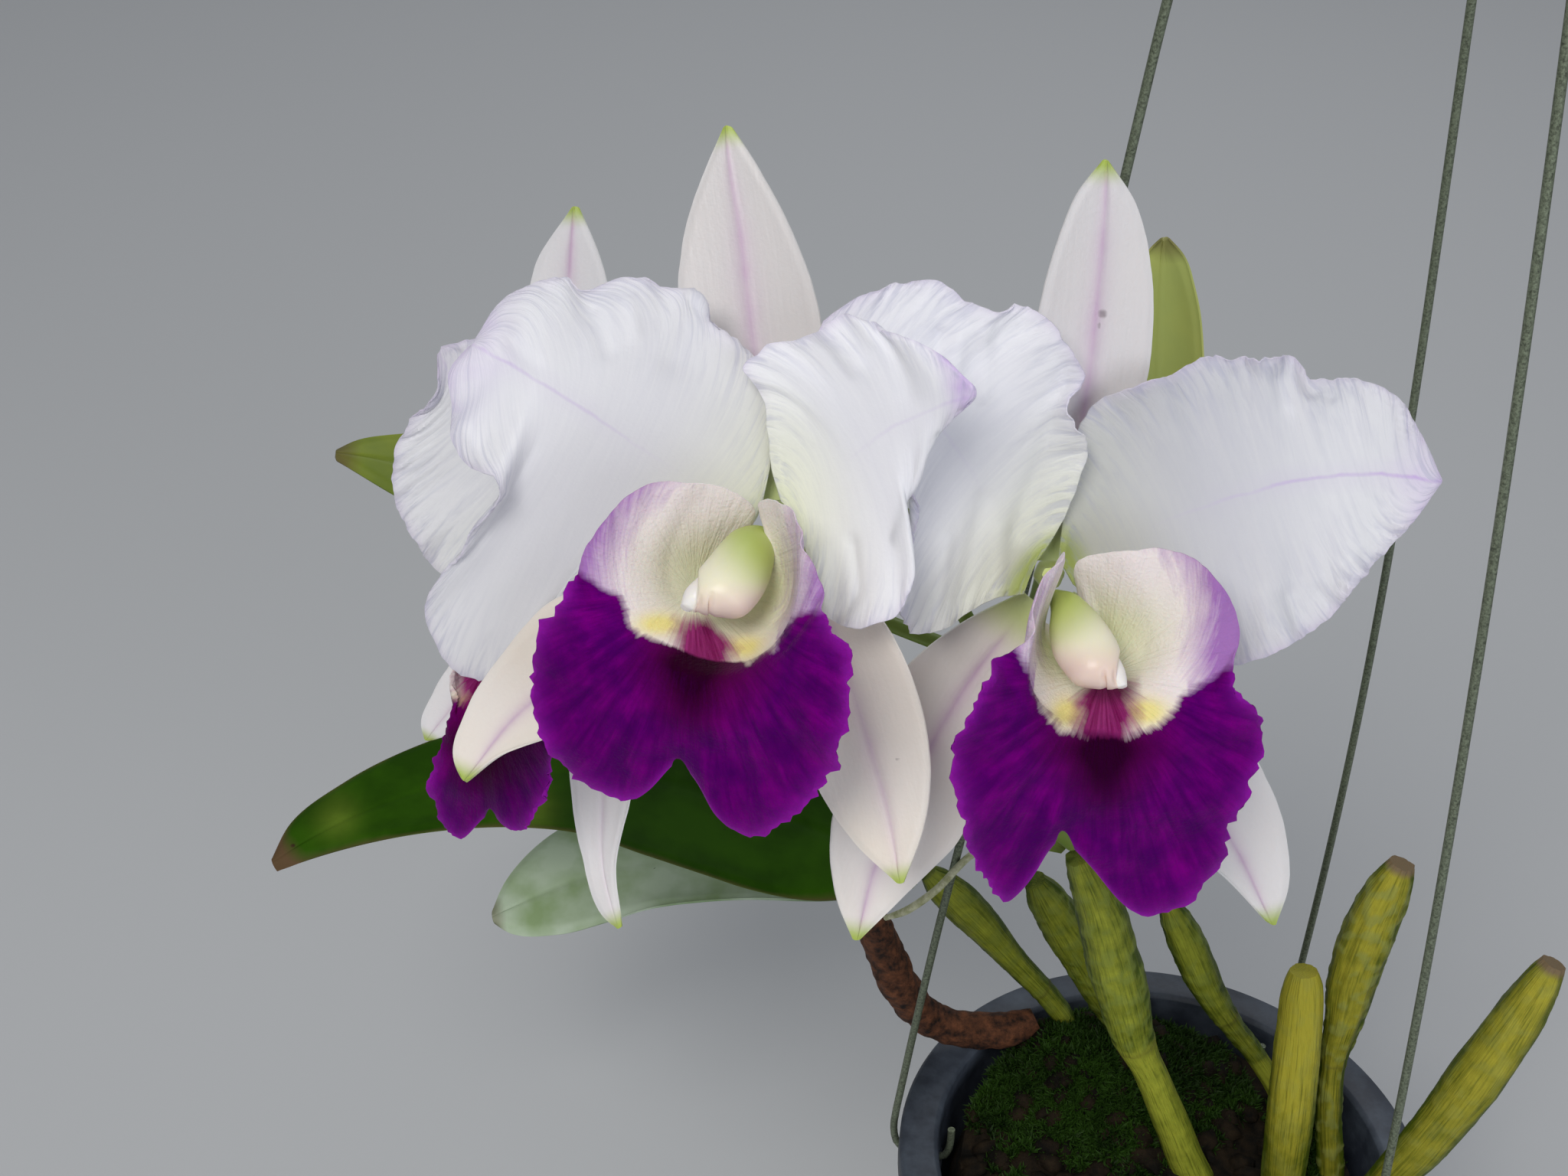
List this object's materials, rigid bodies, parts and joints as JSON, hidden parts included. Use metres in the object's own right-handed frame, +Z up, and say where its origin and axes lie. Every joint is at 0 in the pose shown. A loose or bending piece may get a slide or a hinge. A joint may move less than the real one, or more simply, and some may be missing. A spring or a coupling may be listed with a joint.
{
  "type": "potted cattleya orchid",
  "caption": "Cattleya orchid in bloom with ruffled white petals and purple lips, in a round plastic pot hung by rigid wires that meet in a hook.",
  "frame": {"origin": "the point inside the top of the hanger's hook where it bears on what it hangs from, on the pot's axis", "axes": "+Z up along the pot's axis, -Y towards the side that the open blooms face, +X to the right seen from there"},
  "size_m": [0.2928, 0.1535, 0.6588],
  "materials": {
    "pot_plastic": "weathered satin moulded plastic",
    "potting_bark": "damp bark with moss",
    "hanger_wire": "dull galvanised",
    "bulb_skin": "fresh ridged stem",
    "dry_bulb_skin": "old yellow stem with a dry tip",
    "old_root": "dry papery bark",
    "aerial_root": "pale velamen",
    "leaf_green": "waxy leaf",
    "leaf_pale": "waxy pale underside",
    "leaf_yellow_green": "waxy leaf",
    "flower_stalk": "smooth fresh stalk",
    "sepal_white": "waxy petal with a pink midline",
    "petal_white": "crystalline white petal",
    "lip_purple": "velvety purple with a cream throat",
    "column_cream": "waxy cream"
  },
  "bodies": {
    "root": {"pot": "pot_plastic", "growing_medium": "potting_bark", "hanger_hook": "hanger_wire", "hanger_wire_left": "hanger_wire", "hanger_wire_back": "hanger_wire", "hanger_wire_right": "hanger_wire", "pseudobulb_front": "bulb_skin", "pseudobulb_middle": "bulb_skin", "pseudobulb_left": "bulb_skin", "pseudobulb_back": "bulb_skin", "pseudobulb_stub": "dry_bulb_skin", "pseudobulb_bare": "dry_bulb_skin", "pseudobulb_leaning": "dry_bulb_skin", "old_root": "old_root", "aerial_root": "aerial_root", "leaf_large": "leaf_green", "leaf_pale": "leaf_pale", "leaf_far_left": "leaf_green", "leaf_upright": "leaf_yellow_green", "flower_spike": "flower_stalk", "bloom_a_stalk": "flower_stalk", "bloom_b_stalk": "flower_stalk", "bloom_c_stalk": "flower_stalk", "bloom_a_sepal_dorsal": "sepal_white", "bloom_a_sepal_left": "sepal_white", "bloom_a_sepal_right": "sepal_white", "bloom_a_petal_left": "petal_white", "bloom_a_petal_right": "petal_white", "bloom_a_lip": "lip_purple", "bloom_a_column": "column_cream", "bloom_b_sepal_dorsal": "sepal_white", "bloom_b_sepal_left": "sepal_white", "bloom_b_sepal_right": "sepal_white", "bloom_b_petal_left": "petal_white", "bloom_b_petal_right": "petal_white", "bloom_b_lip": "lip_purple", "bloom_b_column": "column_cream", "bloom_c_sepal_dorsal": "sepal_white", "bloom_c_sepal_left": "sepal_white", "bloom_c_sepal_right": "sepal_white", "bloom_c_petal_left": "petal_white", "bloom_c_petal_right": "petal_white", "bloom_c_lip": "lip_purple", "bloom_c_column": "column_cream"}
  },
  "joints": []
}
